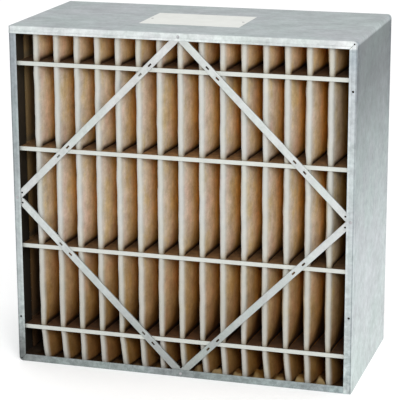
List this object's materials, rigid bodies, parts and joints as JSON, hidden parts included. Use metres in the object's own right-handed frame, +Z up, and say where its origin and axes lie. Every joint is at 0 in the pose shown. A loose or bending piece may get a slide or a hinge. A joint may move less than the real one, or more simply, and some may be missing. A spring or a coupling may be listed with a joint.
{
  "type": "rigid box air filter",
  "caption": "Square rigid box air filter: galvanised sheet frame round deep fibre pleats, held by diagonal straps and finger stabilisers on both faces.",
  "frame": {"origin": "middle of the bottom panel's outside", "axes": "+Z up, -Y out of the air-entering face, +Y out of the air-leaving face, X across the pleats"},
  "size_m": [0.594, 0.292, 0.5943],
  "materials": {
    "frame_sheet": "galvanised",
    "strap_sheet": "galvanised",
    "stabiliser_sheet": "galvanised",
    "media": "matt fibre",
    "pad": "matt fibre",
    "label": "satin",
    "rivet": "satin"
  },
  "bodies": {
    "root": {"frame_top_right": "frame_sheet", "frame_bottom_left": "frame_sheet", "front_strap_upper_left": "strap_sheet", "front_strap_upper_right": "strap_sheet", "front_strap_lower_right": "strap_sheet", "front_strap_lower_left": "strap_sheet", "rear_strap_upper_left": "strap_sheet", "rear_strap_upper_right": "strap_sheet", "rear_strap_lower_right": "strap_sheet", "rear_strap_lower_left": "strap_sheet", "front_stabiliser_bottom": "stabiliser_sheet", "front_stabiliser_lower": "stabiliser_sheet", "front_stabiliser_upper": "stabiliser_sheet", "front_stabiliser_top": "stabiliser_sheet", "rear_stabiliser_bottom": "stabiliser_sheet", "rear_stabiliser_lower": "stabiliser_sheet", "rear_stabiliser_upper": "stabiliser_sheet", "rear_stabiliser_top": "stabiliser_sheet", "media_pack": "media", "pad_bottom": "pad", "pad_top": "pad", "label_plate": "label", "front_rivets": "rivet", "rear_rivets": "rivet"}
  },
  "joints": []
}
